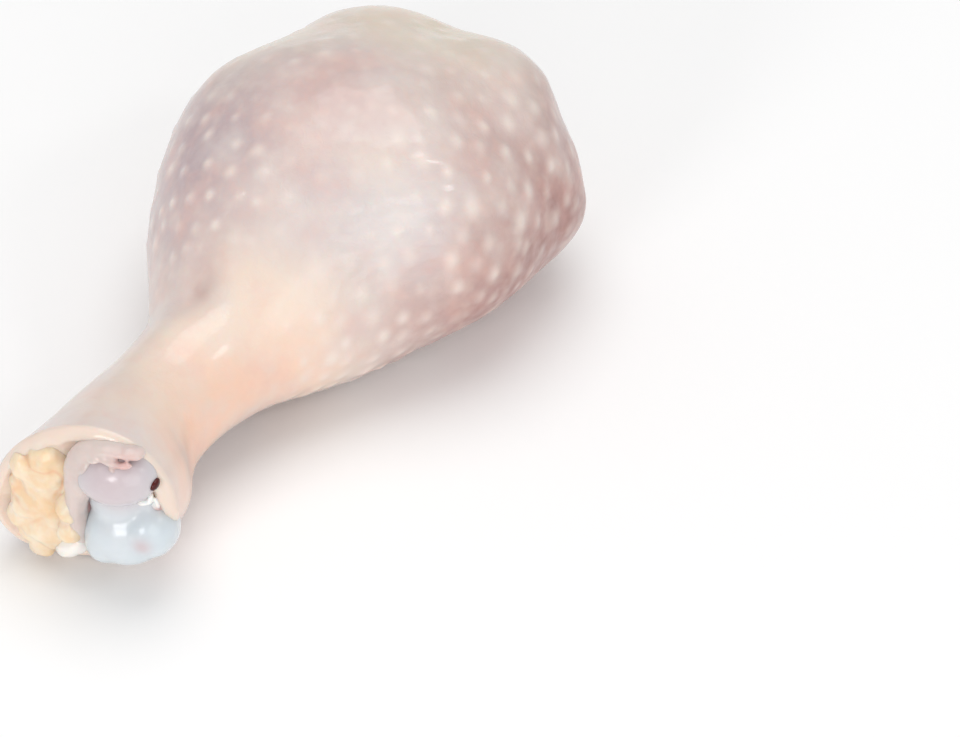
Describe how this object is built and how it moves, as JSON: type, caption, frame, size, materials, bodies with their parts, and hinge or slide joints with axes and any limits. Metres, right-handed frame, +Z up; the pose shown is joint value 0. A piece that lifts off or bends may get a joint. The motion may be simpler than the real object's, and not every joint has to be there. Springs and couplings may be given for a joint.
{
  "type": "raw chicken drumstick",
  "caption": "Raw chicken lower leg with its skin on: a pear-shaped calf under pimpled skin, narrowing to a cut ankle with a glossy knuckle, yellow fat and a pale tendon sheath.",
  "frame": {"origin": "bottom centre of the bounding box, on the surface that the leg lies on", "axes": "+Y along the leg from the cut ankle to the thick end, +X to the shin side, +Z up"},
  "size_m": [0.062, 0.1142, 0.0456],
  "materials": {
    "chicken_skin": "moist raw skin, pale pink beige, satin",
    "gristle": "wet bluish white gristle",
    "chicken_fat": "moist pale yellow fat",
    "sheath": "moist pinkish white membrane"
  },
  "bodies": {
    "root": {"skin_and_meat": "chicken_skin", "shin_bone": "gristle", "ankle_fat": "chicken_fat", "tendon_sheath": "sheath"}
  },
  "joints": []
}
